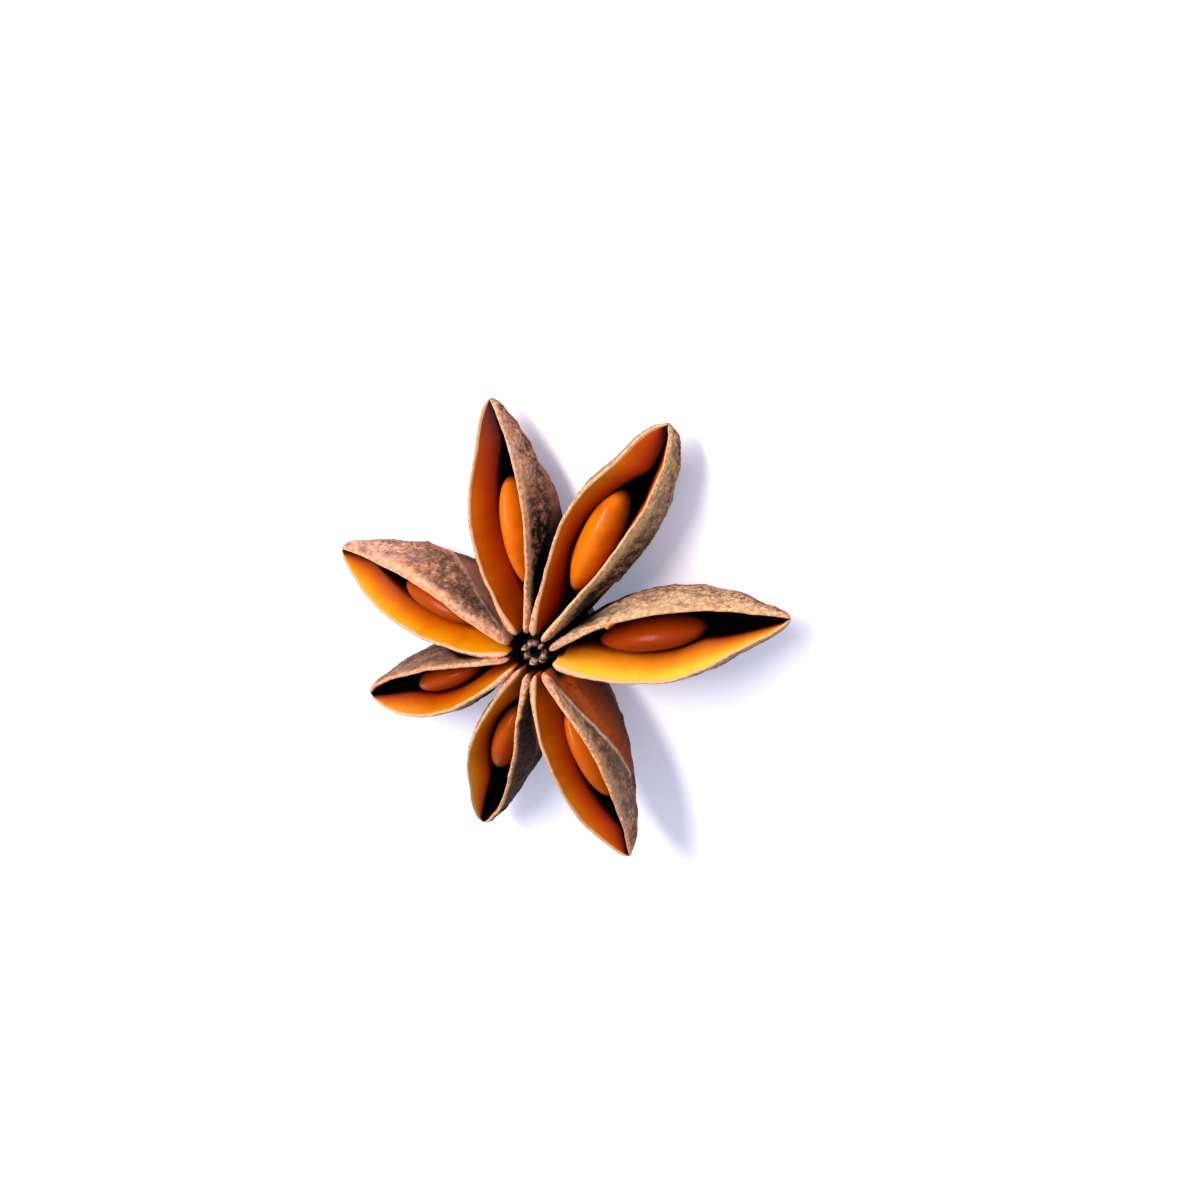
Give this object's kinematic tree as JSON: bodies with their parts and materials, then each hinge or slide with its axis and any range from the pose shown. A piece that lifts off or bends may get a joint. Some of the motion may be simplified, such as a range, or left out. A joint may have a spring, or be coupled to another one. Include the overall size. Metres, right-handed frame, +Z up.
{
  "type": "star anise pod",
  "caption": "Dry woody spice pod: a star of boat-shaped follicles round a short central column, each split open along its upper seam with a glossy seed lying inside.",
  "frame": {"origin": "middle of the footprint, on the floor that the pod lies on", "axes": "+Z up, out of the open seams; +X along the pod's longest extent, out towards the follicle named right"},
  "size_m": [0.0346, 0.0322, 0.0081],
  "materials": {
    "husk": "dry wrinkled husk, satin inside the open follicles",
    "seed": "smooth glossy seed coat"
  },
  "bodies": {
    "root": {"husk": "husk", "seed_right": "seed", "seed_upper_right": "seed", "seed_top": "seed", "seed_upper_left": "seed", "seed_lower_left": "seed", "seed_bottom": "seed", "seed_lower_right": "seed"}
  },
  "joints": []
}
